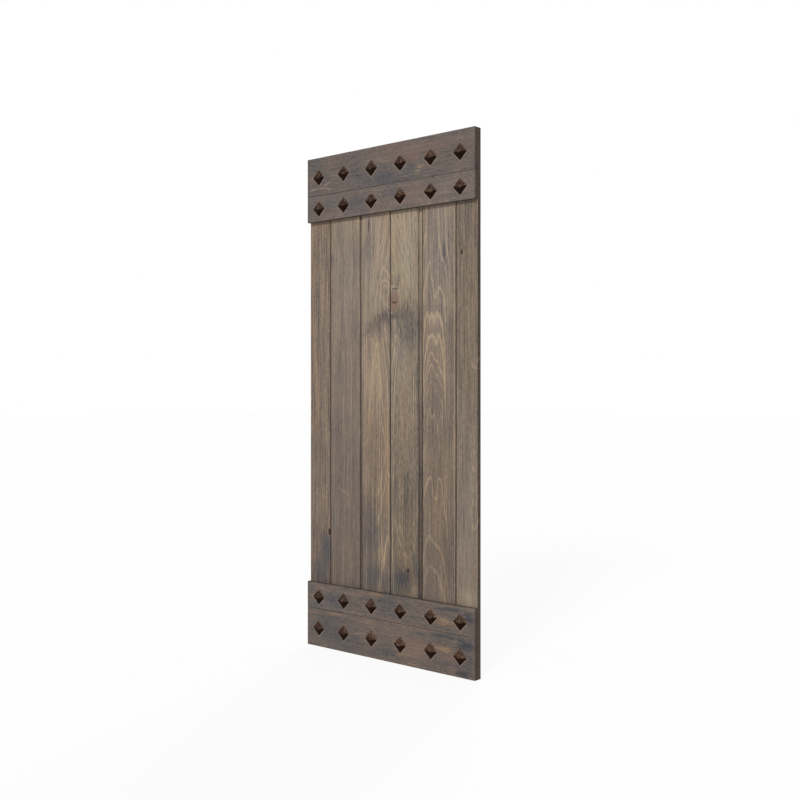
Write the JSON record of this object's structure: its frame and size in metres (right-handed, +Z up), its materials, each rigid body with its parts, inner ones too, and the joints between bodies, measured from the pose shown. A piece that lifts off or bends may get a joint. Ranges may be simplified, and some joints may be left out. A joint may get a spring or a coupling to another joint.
{
  "type": "barn door",
  "caption": "Sliding barn door slab of vertical stained pine planks with a studded double-board band across the top and bottom of its front.",
  "frame": {"origin": "middle of the top edge of the top band's upper board, where the door is hung", "axes": "+X along the width to the right seen from the front, -Y out of the front face with the bands, +Z up along the height"},
  "size_m": [0.9144, 0.0476, 2.1336],
  "materials": {
    "plank_wood": "grey-brown stained knotty pine, matte",
    "band_wood": "darker blue-grey-brown stained pine, matte",
    "stud_iron": "dark rustic bronze patina, satin"
  },
  "bodies": {
    "root": {"plank_1": "plank_wood", "plank_2": "plank_wood", "plank_3": "plank_wood", "plank_4": "plank_wood", "plank_5": "plank_wood", "plank_6": "plank_wood", "top_band_upper_board": "band_wood", "top_band_lower_board": "band_wood", "bottom_band_upper_board": "band_wood", "bottom_band_lower_board": "band_wood", "stud_top_upper_1": "stud_iron", "stud_top_upper_2": "stud_iron", "stud_top_upper_3": "stud_iron", "stud_top_upper_4": "stud_iron", "stud_top_upper_5": "stud_iron", "stud_top_upper_6": "stud_iron", "stud_top_lower_1": "stud_iron", "stud_top_lower_2": "stud_iron", "stud_top_lower_3": "stud_iron", "stud_top_lower_4": "stud_iron", "stud_top_lower_5": "stud_iron", "stud_top_lower_6": "stud_iron", "stud_bottom_upper_1": "stud_iron", "stud_bottom_upper_2": "stud_iron", "stud_bottom_upper_3": "stud_iron", "stud_bottom_upper_4": "stud_iron", "stud_bottom_upper_5": "stud_iron", "stud_bottom_upper_6": "stud_iron", "stud_bottom_lower_1": "stud_iron", "stud_bottom_lower_2": "stud_iron", "stud_bottom_lower_3": "stud_iron", "stud_bottom_lower_4": "stud_iron", "stud_bottom_lower_5": "stud_iron", "stud_bottom_lower_6": "stud_iron"}
  },
  "joints": []
}
